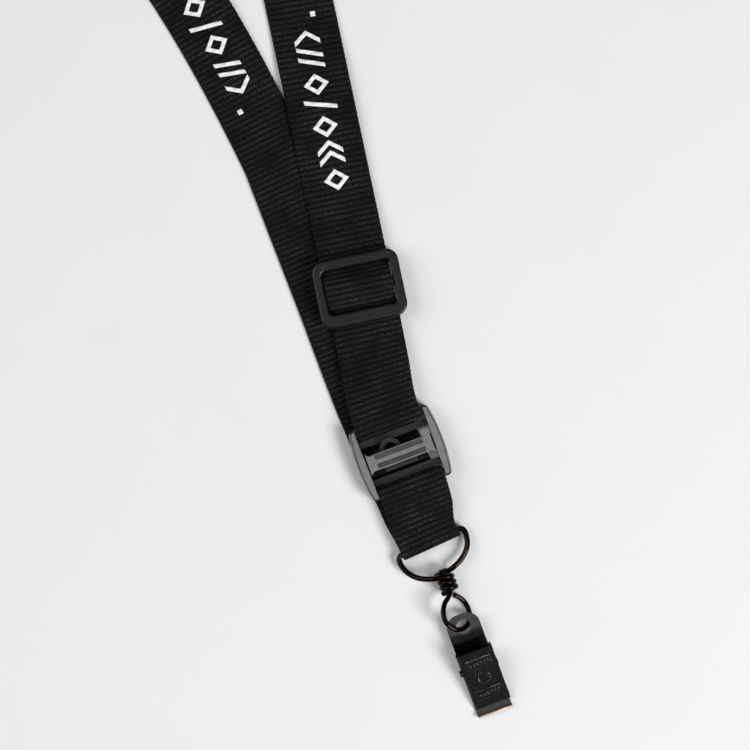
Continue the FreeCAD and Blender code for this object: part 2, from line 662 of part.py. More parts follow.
def clip_base_plate():
    """The tab with its hole, down to the flat lower jaw with a turned-up lip, and the pin's two ears."""
    half = PLATE / 2
    lip_y = JAW_END + half
    points = [
        vec(CLIP_X, TAB_TOP, SHANK_Z), vec(CLIP_X, TAB_TOP - TAB_FLAT, SHANK_Z),
        vec(CLIP_X, TAB_TOP - TAB_FOOT, half),
        vec(CLIP_X, lip_y, half), vec(CLIP_X, lip_y, LIP_HEIGHT),
    ]
    path = rounded_wire(points, (TAB_BEND, TAB_BEND, LIP_BEND))
    edge = path.Edges[0]
    start = edge.valueAt(edge.FirstParameter)
    wide = BASE_WIDTH / 2
    corners = [start + vec(x, 0, z) for x, z in ((-wide, -half), (wide, -half), (wide, half), (-wide, half))]
    plate = path.makePipeShell([Part.makePolygon(corners + corners[:1])], True, False)
    neck_y = TAB_TOP - TAB_FOOT + 1.0
    tab = box(CLIP_X - TAB_WIDTH / 2, CLIP_X + TAB_WIDTH / 2, neck_y, TAB_TOP, -TALL / 2, TALL / 2)
    tab = rounded_edges(tab, TAB_CORNER_RADIUS, lambda b: b.ZLength > 1 and b.YMin > TAB_TOP - 0.01)
    base = box(CLIP_X - wide, CLIP_X + wide, JAW_END - 1, neck_y, -TALL / 2, TALL / 2)
    plate = plate.common(tab.fuse(base))
    hole = Part.makeCylinder(TAB_HOLE_RADIUS, TALL, vec(CLIP_X, TAB_HOLE_CENTRE, -TALL / 2))
    plate = plate.cut(hole)
    outside = CLIP_X + wide
    ear = box(outside - FLANGE, outside, PIN_Y - PIN_EAR_BELOW, PIN_Y + PIN_EAR_ABOVE, 0, PIN_Z)
    ear = joined(ear, rod(vec(outside - FLANGE, PIN_Y, PIN_Z), vec(outside, PIN_Y, PIN_Z), PIN_EAR_RADIUS))
    ear = ear.cut(rod(vec(outside - 2, PIN_Y, PIN_Z), vec(outside + 2, PIN_Y, PIN_Z), PIN_RADIUS))
    other = ear.mirror(vec(CLIP_X, 0), vec(1, 0))
    return joined(plate, ear, other)


def pivot_pin():
    wide = BASE_WIDTH / 2 + PIN_HEAD_LENGTH
    inner = wide - PIN_HEAD_LENGTH
    axis = [vec(CLIP_X + x, PIN_Y, PIN_Z) for x in (-wide, -inner, inner, wide)]
    shaft = rod(axis[0], axis[3], PIN_RADIUS)
    return joined(shaft, rod(axis[0], axis[1], PIN_HEAD_RADIUS), rod(axis[2], axis[3], PIN_HEAD_RADIUS))


def torsion_spring():
    """A close row of turns round the pin between the lever's flanges."""
    pitch = SPRING_WIRE * 1.02
    length = pitch * (SPRING_TURNS - 1)
    first, along = vec(CLIP_X - length / 2, PIN_Y, PIN_Z), vec(1, 0)
    turns = [
        Part.makeTorus(SPRING_RADIUS, SPRING_WIRE / 2, first + along * (k * pitch), along)
        for k in range(SPRING_TURNS)
    ]
    sleeve = Part.makeCylinder(SPRING_RADIUS + SLEEVE_HALF, length, first, along)
    sleeve = sleeve.cut(Part.makeCylinder(SPRING_RADIUS - SLEEVE_HALF, length, first, along))
    return joined(sleeve, *turns)


def clip_lever():
    """The cover, drawn flat with its thumb edge at the origin, then sloped down to the jaw."""
    half = LEVER_WIDTH / 2
    plate = box(-half, half, -LEVER_LENGTH, 0, -PLATE, 0)
    plate = rounded_edges(plate, LEVER_CORNER, lambda b: b.ZLength > PLATE - 0.01)
    ear = box(half - 0.6, half, -1.0, 1.1, -PLATE, 0)
    slope = math.radians(LEVER_SLOPE)
    drop = LEVER_TOP_Z - PIN_Z
    run = LEVER_TOP - PIN_Y
    along = run * math.cos(slope) + drop * math.sin(slope)
    below = drop * math.cos(slope) - run * math.sin(slope)
    inside = BASE_WIDTH / 2 - FLANGE - LEVER_FLANGE_GAP
    shift = CLIP_X - LEVER_X
    flanges = []
    for x in (shift - inside, shift + inside - FLANGE):
        side = box(x, x + FLANGE, -along - 2.0, -1.2, -below, -PLATE)
        cheek = rod(vec(x, -along, -below), vec(x + FLANGE, -along, -below), PIN_EAR_RADIUS)
        flanges.append(joined(side, cheek))
    frames = []
    for y in EMBOSS_FRAMES:
        outer = box(-half + 1.3, half - 1.3, y - 3.2, y, 0, EMBOSS)
        frames.append(outer.cut(box(-half + 1.6, half - 1.6, y - 2.9, y - 0.3, 0, 1)))
        for k in range(EMBOSS_RIBS):
            x = (k - (EMBOSS_RIBS - 1) / 2) * (LEVER_WIDTH - 4.6) / (EMBOSS_RIBS - 1)
            foot, head = x + EMBOSS_LEAN, x - EMBOSS_LEAN
            rib = [
                vec(foot - 0.14, y - 2.6), vec(foot + 0.14, y - 2.6), vec(head + 0.14, y - 0.6),
                vec(head - 0.14, y - 0.6),
            ]
            frames.append(extruded(Part.makePolygon(rib + rib[:1]), 0, EMBOSS))
    dimple = Part.makeTorus(1.75, 0.22, vec(0, -8.6, 0))
    body = joined(plate, ear, *flanges)
    body = joined(body, *frames, dimple.common(box(-3, 3, -12, -5, -0.05, 1)))
    body = body.cut(rod(vec(-10, -along, -below), vec(10, -along, -below), PIN_RADIUS + PIN_CLEARANCE))
    body.rotate(vec(0, 0), vec(1, 0), LEVER_SLOPE)
    body.translate(vec(LEVER_X, LEVER_TOP, LEVER_TOP_Z))
    return body


def neck_samples():
    """Places along the neck strap's centre line: each arc's ends and three between, with its turn."""
    points = [vec(*p) for p in NECK_ROUTE]
    samples = [(points[0], (points[1] - points[0]).normalize())]
    length = 0.0
    last = points[0]
    for k in range(1, len(points) - 1):
        before, corner, after = points[k - 1], points[k], points[k + 1]
        back, on = before - corner, after - corner
        half = back.getAngle(on) / 2
        radius = 0.45 * min(back.Length, on.Length) * math.tan(half)
        start, middle, end = bend(before, corner, after, radius)
        arc = Part.Arc(start, middle, end).toShape()
        print(f"neck arc {k}: radius {radius:.1f} mm")
        for share in (0.0, 0.25, 0.5, 0.75, 1.0):
            at = arc.FirstParameter + share * (arc.LastParameter - arc.FirstParameter)
            tangent = arc.tangentAt(at)
            if tangent.dot(after - before) < 0:
                tangent = tangent * -1
            samples.append((arc.valueAt(at), tangent))
        length += (start - last).Length + arc.Length
        last = end
    samples.append((points[-1], (points[-1] - points[-2]).normalize()))
    return samples, length + (points[-1] - last).Length


def neck_section(place, heading):
    """Flat by the buckle, on its outer edge round the neck, rolled evenly between."""
    share = min(1.0, max(0.0, (place.y - TWIST_START) / (TWIST_END - TWIST_START)))
    roll = 90.0 * (3 * share ** 2 - 2 * share ** 3)
    turn = math.degrees(math.atan2(heading.x, heading.y))
    return strap_section(place.x, place.y, BACK_Z, turn, tilt=roll)


def neck_strap():
    samples, length = neck_samples()
    sections = [neck_section(place, heading) for place, heading in samples]
    cuts = (0, 18, 43, len(sections) - 1)
    names = ("neck_strap_right", "neck_strap_back", "neck_strap_left")
    solids = {}
    for name, first, last in zip(names, cuts, cuts[1:]):
        solids[name] = strap_loft(sections[first:last + 1])
    volume = sum(s.Volume for s in solids.values())
    expected = length * WEB_WIDTH * WEB_THICKNESS
    print(f"neck strap: length {length:.1f} mm, volume {volume:.0f} against {expected:.0f} mm3")
    return solids


def slider_nodes():
    built = {"slider_frame": slider_frame(), "sewn_end": sewn_end(), "strap_over_bar": strap_over_bar()}
    moved = {name: placed(shape, SLIDER_CENTRE, SLIDER_TURN) for name, shape in built.items()}
    moved["slider_bartack"] = stitches(on_slider(-3.1), SLIDER_TURN, RETURN_Z + WEB_THICKNESS)
    return moved


nodes.update(neck_strap())
nodes["strap_above_slider"] = strap_above_slider()
nodes["left_leg_lower"] = left_leg_lower()
nodes["adjuster_loop"] = adjuster_loop()
nodes.update(slider_nodes())
nodes["buckle_socket"] = buckle_socket()
nodes["buckle_plug"] = buckle_plug()
nodes["latch_arm_right"] = latch_arm()
nodes["latch_arm_left"] = mirrored(nodes["latch_arm_right"])
nodes["lower_strap"] = lower_strap()
nodes["plug_bartack"] = stitches((-0.2, -14.0), 0.0, FRONT_Z + WEB_THICKNESS)
nodes["swivel_ring"] = swivel_ring()
nodes["swivel_eye"] = swivel_eye()
nodes["clip_base_plate"] = clip_base_plate()
nodes["pivot_pin"] = pivot_pin()
nodes["torsion_spring"] = torsion_spring()
nodes["clip_lever"] = clip_lever()

bounds = FreeCAD.BoundBox()
for name, shape in nodes.items():
    if not name.startswith("neck_strap"):
        bounds.add(shape.optimalBoundingBox())
shift = vec(-(bounds.XMin + bounds.XMax) / 2, -(bounds.YMin + bounds.YMax) / 2, -bounds.ZMin)
print(f"design origin now at {shift.x:.4f}, {shift.y:.4f}, {shift.z:.4f}")

os.makedirs("parts", exist_ok=True)
for name, shape in nodes.items():
    node = solid_of(shape.copy())
    node.translate(shift)
    node.exportStep(f"parts/{name}.step")
    print(f"{name}: {len(node.Solids)} solid, valid {node.isValid()}, {node.Volume:.1f} mm3")
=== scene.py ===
import math

import bpy
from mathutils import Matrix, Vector


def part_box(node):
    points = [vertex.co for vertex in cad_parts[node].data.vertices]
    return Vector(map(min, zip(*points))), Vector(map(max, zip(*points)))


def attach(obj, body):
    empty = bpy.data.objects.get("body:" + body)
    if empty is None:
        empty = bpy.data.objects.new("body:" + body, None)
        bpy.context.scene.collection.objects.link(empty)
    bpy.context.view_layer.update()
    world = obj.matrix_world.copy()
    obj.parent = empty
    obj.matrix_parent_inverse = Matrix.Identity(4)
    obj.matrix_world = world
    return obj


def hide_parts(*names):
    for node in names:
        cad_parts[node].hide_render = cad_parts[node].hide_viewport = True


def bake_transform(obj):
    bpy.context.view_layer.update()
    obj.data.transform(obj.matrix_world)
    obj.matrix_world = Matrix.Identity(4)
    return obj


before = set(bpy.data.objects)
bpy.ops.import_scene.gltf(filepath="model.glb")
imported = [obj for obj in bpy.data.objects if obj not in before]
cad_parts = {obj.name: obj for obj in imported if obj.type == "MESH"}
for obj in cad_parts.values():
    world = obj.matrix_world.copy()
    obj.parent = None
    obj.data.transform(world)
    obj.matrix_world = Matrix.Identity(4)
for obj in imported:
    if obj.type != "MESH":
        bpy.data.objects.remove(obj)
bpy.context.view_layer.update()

# Sizes are in millimetres, in the design's own axes: the origin is the middle of the buckle
MM = 0.001
BUCKLE_HALF_LENGTH = 10.9
socket_low, socket_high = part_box("buckle_socket")
ORIGIN = Vector(((socket_low[0] + socket_high[0]) / 2, socket_high[1] - BUCKLE_HALF_LENGTH * MM, 0.0))

# Webbing
WEB_WIDTH = 20.0
WEB_THICKNESS = 1.0
RIB_PITCH = 1.6
RIB_DEPTH = 0.22
WARP_PITCH = 0.42
WARP_LEAN = 0.35
STEPS_PER_RIB = 6
SELVEDGE = 0.45
SELVEDGE_ROUND = 0.12
SELVEDGE_SHOULDER = 0.62
EDGE_SCALLOP = 0.1
WEAVE_MAP = "weave"

# Heights of the strap's middle in each layer
BACK = 0.5
RETURN = 1.6
THROUGH = 2.7
FRONT = 4.6
FOLD_FRONT = 3.4
FOLD_WIDTH = 18.2

SLIDER_CENTRE = (5.7, 49.1)
SLIDER_TURN = 8.5
SLIDER_HALF_LENGTH = 10.0
BAR_WRAP = 9.2
BAR_WRAP_RADIUS = 1.5
BAR_WRAP_Z = 3.1
RING_BAR = (-1.0, -27.4)
RING_TURN = -4.0
RING_Z = 1.95
FOLD_RADIUS = 1.45

# The two knurled bands on the buckle's bridge
KNURL_HALF_LENGTH = 7.45
KNURL_CENTRE = 1.3
KNURL_HALF_WIDTH = 0.72
KNURL_ROW = 0.5
KNURL_ROW_PHASE = 0.94
KNURL_PITCH = 0.72

# The wires
SHANK_X = -0.4
SHANK_Z = 3.0
RING_WIRE = 1.65
COIL_RADIUS = 2.0
COIL_TOP = -38.4
COIL_PITCH = 1.62
COIL_TURNS = 2.75
EYE_WIRE = 1.5
EYE_ROLL = 35.0
WIRE_STEP = 0.3
CUT_END_DEPTH = 0.12
CUT_END_SHARE = 0.8

# The neck strap's route, flat by the buckle and on its edge round the neck: u, v and middle height
NECK_ROUTE = (
    (18.9, 137.0, 0.5), (30.0, 192.0, 2.9), (45.0, 250.0, 8.8), (64.0, 308.0, 10.0), (74.0, 362.0, 10.0),
    (57.0, 408.0, 10.0), (12.0, 430.0, 10.0), (-36.0, 417.0, 10.0), (-65.0, 378.0, 10.0),
    (-66.0, 324.0, 10.0), (-54.0, 266.0, 9.6), (-34.0, 208.0, 4.6), (-9.5, 153.0, 0.5), (-3.9, 93.0, 0.5),
)


def place(u, v, z=0.0):
    """A place of the design, in metres in the frame."""
    return ORIGIN + Vector((u, v, z)) * MM


# ---------------------------------------------------------------- materials


def colour(code):
    """An sRGB hex code as the linear colour a shader takes."""
    channels = [int(code[k:k + 2], 16) / 255 for k in (1, 3, 5)]
    linear = [c / 12.92 if c <= 0.04045 else ((c + 0.055) / 1.055) ** 2.4 for c in channels]
    return (*linear, 1.0)


def add(tree, kind, inputs=(), **settings):
    """Adds a node with its settings, and its inputs as values or links. Gives its first output."""
    made = tree.nodes.new(kind)
    for name, value in settings.items():
        setattr(made, name, value)
    for socket, value in dict(inputs).items():
        if isinstance(value, bpy.types.NodeSocket):
            tree.links.new(value, made.inputs[socket])
        else:
            made.inputs[socket].default_value = value
    return made.outputs[0]


def material(name, **constants):
    """An empty material with one shader, and the shader's constant values."""
    made = bpy.data.materials.new(name)
    made.use_nodes = True
    shader = made.node_tree.nodes["Principled BSDF"]
    for socket, value in constants.items():
        shader.inputs[socket.replace("_", " ")].default_value = value
    return made, made.node_tree, shader


def mixed(tree, factor, first, second, blend="MIX"):
    """Two colours mixed by a factor. Each is a link or a hex code."""
    made = tree.nodes.new("ShaderNodeMix")
    made.data_type = "RGBA"
    made.blend_type = blend
    for socket, value in (("Factor", factor), ("A", first), ("B", second)):
        if isinstance(value, bpy.types.NodeSocket):
            tree.links.new(value, made.inputs[socket])
        else:
            made.inputs[socket].default_value = colour(value) if isinstance(value, str) else value
    return made.outputs["Result"]


def ramp(tree, factor, dark, light, low=0.0, high=1.0):
    """A colour that goes from dark to light as the factor goes from low to high."""
    share = add(tree, "ShaderNodeMapRange", {0: factor, 1: low, 2: high, 3: 0.0, 4: 1.0})
    return mixed(tree, share, dark, light)


def grain(tree, size_mm, detail=3.0, stretch=(1.0, 1.0, 1.0)):
    """Noise with cells of about this size on the object."""
    coordinates = tree.nodes.new("ShaderNodeTexCoord").outputs["Object"]
    scaled = add(tree, "ShaderNodeMapping", {0: coordinates, 3: stretch})
    return add(tree, "ShaderNodeTexNoise", {"Vector": scaled, "Scale": 1 / (size_mm * MM), "Detail": detail})


def bump(tree, shader, height, depth_mm, strength=1.0):
    normal = add(
        tree, "ShaderNodeBump", {"Height": height, "Distance": depth_mm * MM, "Strength": strength}
    )
    tree.links.new(normal, shader.inputs["Normal"])


def shade(tree, shader, factor, dark, light, low, high, smooth_end, dull_end):
    """Colour and roughness that follow a factor, the roughness between 0.3 and 0.7 of it."""
    tree.links.new(ramp(tree, factor, dark, light, low, high), shader.inputs["Base Color"])
    rough = add(tree, "ShaderNodeMapRange", {0: factor, 1: 0.3, 2: 0.7, 3: smooth_end, 4: dull_end})
    tree.links.new(rough, shader.inputs["Roughness"])


def woven_heights(tree):
    """The ribs' crests and the warp threads, which step half a thread aside on every other rib."""
    weave = add(tree, "ShaderNodeUVMap", uv_map=WEAVE_MAP)
    split = tree.nodes.new("ShaderNodeSeparateXYZ")
    tree.links.new(weave, split.inputs[0])
    across, along = split.outputs[0], split.outputs[1]
    ribs = add(tree, "ShaderNodeMath", {0: along, 1: RIB_PITCH}, operation="DIVIDE")
    turn = add(tree, "ShaderNodeMath", {0: ribs, 1: 2 * math.pi}, operation="MULTIPLY")
    crest = add(tree, "ShaderNodeMath", {0: turn}, operation="COSINE")
    middle = add(tree, "ShaderNodeMath", {0: ribs, 1: 0.5}, operation="ADD")
    number = add(tree, "ShaderNodeMath", {0: middle}, operation="FLOOR")
    odd = add(tree, "ShaderNodeMath", {0: number, 1: 2.0}, operation="FLOORED_MODULO")
    aside = add(tree, "ShaderNodeMath", {0: odd, 1: 0.5}, operation="MULTIPLY")
    lean = add(tree, "ShaderNodeMath", {0: ribs, 1: WARP_LEAN, 2: aside}, operation="MULTIPLY_ADD")
    threads = add(tree, "ShaderNodeMath", {0: across, 1: 1 / WARP_PITCH, 2: lean}, operation="MULTIPLY_ADD")
    wave = add(tree, "ShaderNodeMath", {0: threads, 1: 2 * math.pi}, operation="MULTIPLY")
    return crest, add(tree, "ShaderNodeMath", {0: wave}, operation="COSINE")


def webbing_material():
    """Grosgrain woven from black polyester yarn: matt, almost black, with grey highlight glints painted on
    the ribs.
    """
    made, tree, shader = material(
        "black_polyester_grosgrain", IOR=1.46, Specular_IOR_Level=0.14, Sheen_Weight=0.04,
        Sheen_Roughness=0.5,
    )
    crest, thread = woven_heights(tree)
    fuzz = grain(tree, 0.45, 4.0)
    cloud = grain(tree, 9.0, 2.0)
    on_rib = add(tree, "ShaderNodeMapRange", {0: crest, 1: -0.85, 2: 0.55, 3: 0.0, 4: 1.0})
    float_up = add(tree, "ShaderNodeMapRange", {0: thread, 1: -0.35, 2: 0.85, 3: 0.0, 4: 1.0})
    dash = add(tree, "ShaderNodeMath", {0: on_rib, 1: float_up}, operation="MULTIPLY")
    uneven = add(tree, "ShaderNodeMapRange", {0: fuzz, 1: 0.4, 2: 0.62, 3: 0.1, 4: 1.0})
    glint = add(tree, "ShaderNodeMath", {0: dash, 1: uneven}, operation="MULTIPLY")
    patch = add(tree, "ShaderNodeMapRange", {0: cloud, 1: 0.38, 2: 0.62, 3: 0.3, 4: 1.0})
    lit = add(tree, "ShaderNodeMath", {0: glint, 1: patch}, operation="MULTIPLY")
    # Painted highlights: the warp floats on the rib crests are lightened in patches in the colour, as
    # glints.
    tree.links.new(ramp(tree, lit, "#040404", "#50514b"), shader.inputs["Base Color"])
    rough = add(tree, "ShaderNodeMapRange", {0: lit, 1: 0.0, 2: 1.0, 3: 0.8, 4: 0.5})
    tree.links.new(rough, shader.inputs["Roughness"])
    bump(tree, shader, dash, 0.09, 0.8)
    return made


def ink_material():
    """White screen ink pressed into the weave: flat white with the threads just showing through."""
    made, tree, shader = material("white_screen_ink", Roughness=0.5, IOR=1.5, Specular_IOR_Level=0.3)
    _, thread = woven_heights(tree)
    worn = grain(tree, 0.5, 3.0)
    tree.links.new(ramp(tree, worn, "#dfe3e8", "#fbfbfd", 0.35, 0.55), shader.inputs["Base Color"])
    bump(tree, shader, thread, 0.03, 0.5)
    return made


def thread_material():
    """Black bonded sewing thread: a smooth twist with a soft shine."""
    made, tree, shader = material("black_bonded_thread", IOR=1.5, Specular_IOR_Level=0.4)
    twist = grain(tree, 0.2, 2.0, (1.0, 2.5, 1.0))
    shade(tree, shader, twist, "#080808", "#1d1d1d", 0.35, 0.7, 0.4, 0.65)
    bump(tree, shader, twist, 0.05, 0.5)
    return made


def slider_material():
    """Black acetal from a lightly etched mould: deep black with soft edge lights and handling rubs."""
    made, tree, shader = material("black_moulded_acetal", IOR=1.48, Specular_IOR_Level=0.42)
    etch = grain(tree, 0.18, 4.0)
    rubs = grain(tree, 2.6, 5.0)
    shade(tree, shader, rubs, "#070707", "#161616", 0.35, 0.75, 0.3, 0.46)
    bump(tree, shader, etch, 0.02, 0.4)
    return made


def knurl_pit_shade(tree, coordinates):
    """How dark the bridge's two knurled bands are: painted shade in staggered lozenge pits between fine
    ridges.
    """
    split = tree.nodes.new("ShaderNodeSeparateXYZ")
    tree.links.new(coordinates, split.inputs[0])
    across = add(tree, "ShaderNodeMath", {0: split.outputs[0], 1: -ORIGIN.x}, operation="ADD")
    along = add(tree, "ShaderNodeMath", {0: split.outputs[1], 1: -ORIGIN.y}, operation="ADD")
    inside = add(tree, "ShaderNodeMath", {0: across}, operation="ABSOLUTE")
    inside = add(tree, "ShaderNodeMath", {0: inside, 1: KNURL_HALF_LENGTH * MM}, operation="LESS_THAN")
    from_middle = add(tree, "ShaderNodeMath", {0: along}, operation="ABSOLUTE")
    band = add(
        tree, "ShaderNodeMath", {0: from_middle, 1: KNURL_CENTRE * MM, 2: KNURL_HALF_WIDTH * MM},
        operation="COMPARE",
    )
    row_rate = 2 * math.pi / (KNURL_ROW * MM)
    pit_rate = 2 * math.pi / (KNURL_PITCH * MM)
    rows = add(tree, "ShaderNodeMath", {0: along, 1: row_rate, 2: KNURL_ROW_PHASE}, operation="MULTIPLY_ADD")
    lean = add(tree, "ShaderNodeMath", {0: along, 1: row_rate / 2}, operation="MULTIPLY")
    pits = add(tree, "ShaderNodeMath", {0: across, 1: pit_rate, 2: lean}, operation="MULTIPLY_ADD")
    row_wave = add(tree, "ShaderNodeMath", {0: rows}, operation="COSINE")
    pit_wave = add(tree, "ShaderNodeMath", {0: pits}, operation="COSINE")
    both = add(tree, "ShaderNodeMath", {0: row_wave, 1: pit_wave}, operation="ADD")
    dark = add(tree, "ShaderNodeMapRange", {0: both, 1: -0.5, 2: 0.6, 3: 0.0, 4: 1.0})
    dark = add(tree, "ShaderNodeMath", {0: dark, 1: band}, operation="MULTIPLY")
    return add(tree, "ShaderNodeMath", {0: dark, 1: inside}, operation="MULTIPLY")


def buckle_material(name, shaded_below_z, lit_above_z, shade_knurl_pits=False):
    """Spark-etched nylon with painted light: a pale even etched sparkle on the lit high faces, painted shade
    below.
    """
    made, tree, shader = material(name, IOR=1.53, Specular_IOR_Level=0.5)
    etch = grain(tree, 0.13, 3.0)
    blush = grain(tree, 1.6, 3.0)
    face = ramp(tree, etch, "#6b6c6a", "#8d8e8b", 0.36, 0.64)
    clouded = ramp(tree, blush, "#8a8a8a", "#ffffff", 0.3, 0.7)
    pale = mixed(tree, 0.35, face, clouded, "MULTIPLY")
    coordinates = tree.nodes.new("ShaderNodeTexCoord").outputs["Object"]
    height = tree.nodes.new("ShaderNodeSeparateXYZ")
    tree.links.new(coordinates, height.inputs[0])
    lit_by_height = add(
        tree, "ShaderNodeMapRange", {0: height.outputs[2], 1: shaded_below_z * MM, 2: lit_above_z * MM, 3: 0.0, 4: 1.0}
    )
    # Painted shade by height: faces below the given heights darken to near black, and the high faces stay
    # pale as lit.
    whole = mixed(tree, lit_by_height, "#0c0d0d", pale)
    # Painted shade in the knurl pits on the buckle's bridge.
    if shade_knurl_pits:
        whole = mixed(tree, knurl_pit_shade(tree, coordinates), whole, "#050505")
    tree.links.new(whole, shader.inputs["Base Color"])
    rough = add(tree, "ShaderNodeMapRange", {0: etch, 1: 0.3, 2: 0.7, 3: 0.42, 4: 0.62})
    tree.links.new(rough, shader.inputs["Roughness"])
    bump(tree, shader, etch, 0.04, 0.6)
    return made


def wire_material():
    """Drawn steel wire in black nickel: a dark brown mirror with fine draw lines."""
    made, tree, shader = material("black_nickel_wire", Metallic=1.0)
    lines = grain(tree, 0.6, 4.0, (3.0, 0.6, 3.0))
    shade(tree, shader, lines, "#1d1614", "#30261f", 0.35, 0.7, 0.1, 0.2)
    bump(tree, shader, lines, 0.01, 0.3)
    return made


def clip_material():
    """Pressed steel under black stoving enamel: a wet gloss over black, with bare brass-washed cut ends."""
    made, tree, shader = material(
        "black_enamelled_steel", IOR=1.52, Specular_IOR_Level=0.45, Coat_Weight=0.35, Coat_Roughness=0.08,
        Coat_IOR=1.5,
    )
    peel = grain(tree, 0.9, 3.0)
    dust = grain(tree, 0.25, 5.0)
    tree.links.new(ramp(tree, dust, "#060606", "#111010", 0.4, 0.8), shader.inputs["Base Color"])
    rough = add(tree, "ShaderNodeMapRange", {0: peel, 1: 0.3, 2: 0.7, 3: 0.16, 4: 0.26})
    tree.links.new(rough, shader.inputs["Roughness"])
    bump(tree, shader, peel, 0.012, 0.35)
    return made


def spring_material():
    """Music wire, lightly oiled: bright grey steel with dull bands between the turns."""
    made, tree, shader = material("oiled_music_wire", Metallic=1.0)
    bands = grain(tree, 0.35, 3.0)
    shade(tree, shader, bands, "#3b3a39", "#77757a", 0.3, 0.7, 0.2, 0.4)
    return made


def bare_edge_material():
    """Bare cut edge of brass-washed steel: a thin warm golden line."""
    made, tree, shader = material("brass_washed_cut_edge", Metallic=1.0)
    drag = grain(tree, 0.3, 3.0, (4.0, 1.0, 1.0))
    shade(tree, shader, drag, "#c9913a", "#f0c987", 0.3, 0.7, 0.28, 0.45)
    return made


def floor_material():
    """Matt white paper sweep."""
    made, tree, shader = material("white_paper_sweep", Roughness=0.95, Specular_IOR_Level=0.1)
    fibre = grain(tree, 30.0, 2.0)
    tree.links.new(ramp(tree, fibre, "#ecedec", "#eeeeee", 0.3, 0.7), shader.inputs["Base Color"])
    return made


WEBBING = webbing_material()
INK = ink_material()
THREAD = thread_material()
WIRE = wire_material()
ENAMEL = clip_material()

# ---------------------------------------------------------------- mesh helpers


def new_piece(name, corners, faces, finish, weave=None):
    """A smooth mesh piece from corners in millimetres. weave gives a strap's own coordinates."""
    mesh = bpy.data.meshes.new(name)
    mesh.from_pydata([place(*c) for c in corners], [], faces)
    if weave:
        layer = mesh.uv_layers.new(name=WEAVE_MAP)
        for loop in mesh.loops:
            layer.data[loop.index].uv = weave[loop.vertex_index]
    mesh.polygons.foreach_set("use_smooth", [True] * len(mesh.polygons))
    mesh.materials.append(finish)
    piece = bpy.data.objects.new(name, mesh)
    bpy.context.collection.objects.link(piece)
    return piece


def side(turn, roll=0.0):
    """The direction across a strap that runs turn degrees clockwise from +v, rolled onto its edge."""
    t = math.radians(turn)
    return Vector((math.cos(t) * math.cos(roll), -math.sin(t) * math.cos(roll), -math.sin(roll)))


def station(u, v, z, turn=0.0, width=WEB_WIDTH):
    """A strap's middle, the direction across it, and its width."""
    return Vector((u, v, z)), side(turn), width


def station_from(centre, along, z, turn, width=WEB_WIDTH):
    """A station along a strap that runs turn degrees clockwise from +v through the centre."""
    t = math.radians(turn)
    u, v = centre
    return station(u + along * math.sin(t), v + along * math.cos(t), z, turn, width)


def on_slider(along, z):
    """A station on the slider's centre line."""
    return station_from(SLIDER_CENTRE, along, z, SLIDER_TURN)


def half_turn(u, v, z, radius, bulge, turn=0.0, width=WEB_WIDTH):
    """Stations up round a bar, on the side towards +v or -v."""
    steps = 8
    stations = []
    for k in range(steps + 1):
        angle = math.pi * (k / steps - 0.5)
        out = bulge * radius * math.cos(angle)
        stations.append(station_from((u, v), out, z + radius * math.sin(angle), turn, width))
    return stations


def smooth(stations, spacing=0.5):
    """Closely spaced stations on one smooth curve through the given ones."""
    points = [s[0] for s in stations]
    gaps = [(b - a).length for a, b in zip(points, points[1:])]
    rates = [(b - a) / gap for a, b, gap in zip(points, points[1:], gaps)]
    slopes = [rates[0]]
    for before, after, gap, following in zip(rates, rates[1:], gaps, gaps[1:]):
        slopes.append((before * following + after * gap) / (gap + following))
    slopes.append(rates[-1])
    close = []
    for k, gap in enumerate(gaps):
        count = max(2, math.ceil(gap / spacing))
        (start, start_side, start_width), (end, end_side, end_width) = stations[k:k + 2]
        for i in range(count):
            t = i / count
            ease = t * t * (3 - 2 * t)
            point = start.lerp(end, ease)
            point += slopes[k] * (gap * t * (1 - t) ** 2) - slopes[k + 1] * (gap * t * t * (1 - t))
            close.append((
                point, start_side.lerp(end_side, t).normalized(), start_width + (end_width - start_width) * t
            ))
    close.append(stations[-1])
    return close


def frames_along(stations, start=0.0):
    """Frames a sixth of a rib apart: distance along, middle, across, normal and width."""
    reached = [0.0]
    for (a, _, _), (b, _, _) in zip(stations, stations[1:]):
        reached.append(reached[-1] + (b - a).length)
    count = max(2, round(reached[-1] * STEPS_PER_RIB / RIB_PITCH))
    middles = []
    k = 0
    for i in range(count + 1):
        distance = reached[-1] * i / count
        while k < len(reached) - 2 and reached[k + 1] < distance:
            k += 1
        share = (distance - reached[k]) / (reached[k + 1] - reached[k])
        (a, side_a, width_a), (b, side_b, width_b) = stations[k:k + 2]
        middles.append((
            start + distance, a.lerp(b, share), side_a.lerp(side_b, share).normalized(),
            width_a + (width_b - width_a) * share,
        ))
    frames = []
    for i, (distance, middle, across, width) in enumerate(middles):
        ahead = middles[min(i + 1, count)][1] - middles[max(i - 1, 0)][1]
        frames.append((distance, middle, across, across.cross(ahead).normalized(), width))
    return frames


def valley(distance):
    """0 on a rib and 1 between two ribs."""
    return 0.5 - 0.5 * math.cos(2 * math.pi * distance / RIB_PITCH)


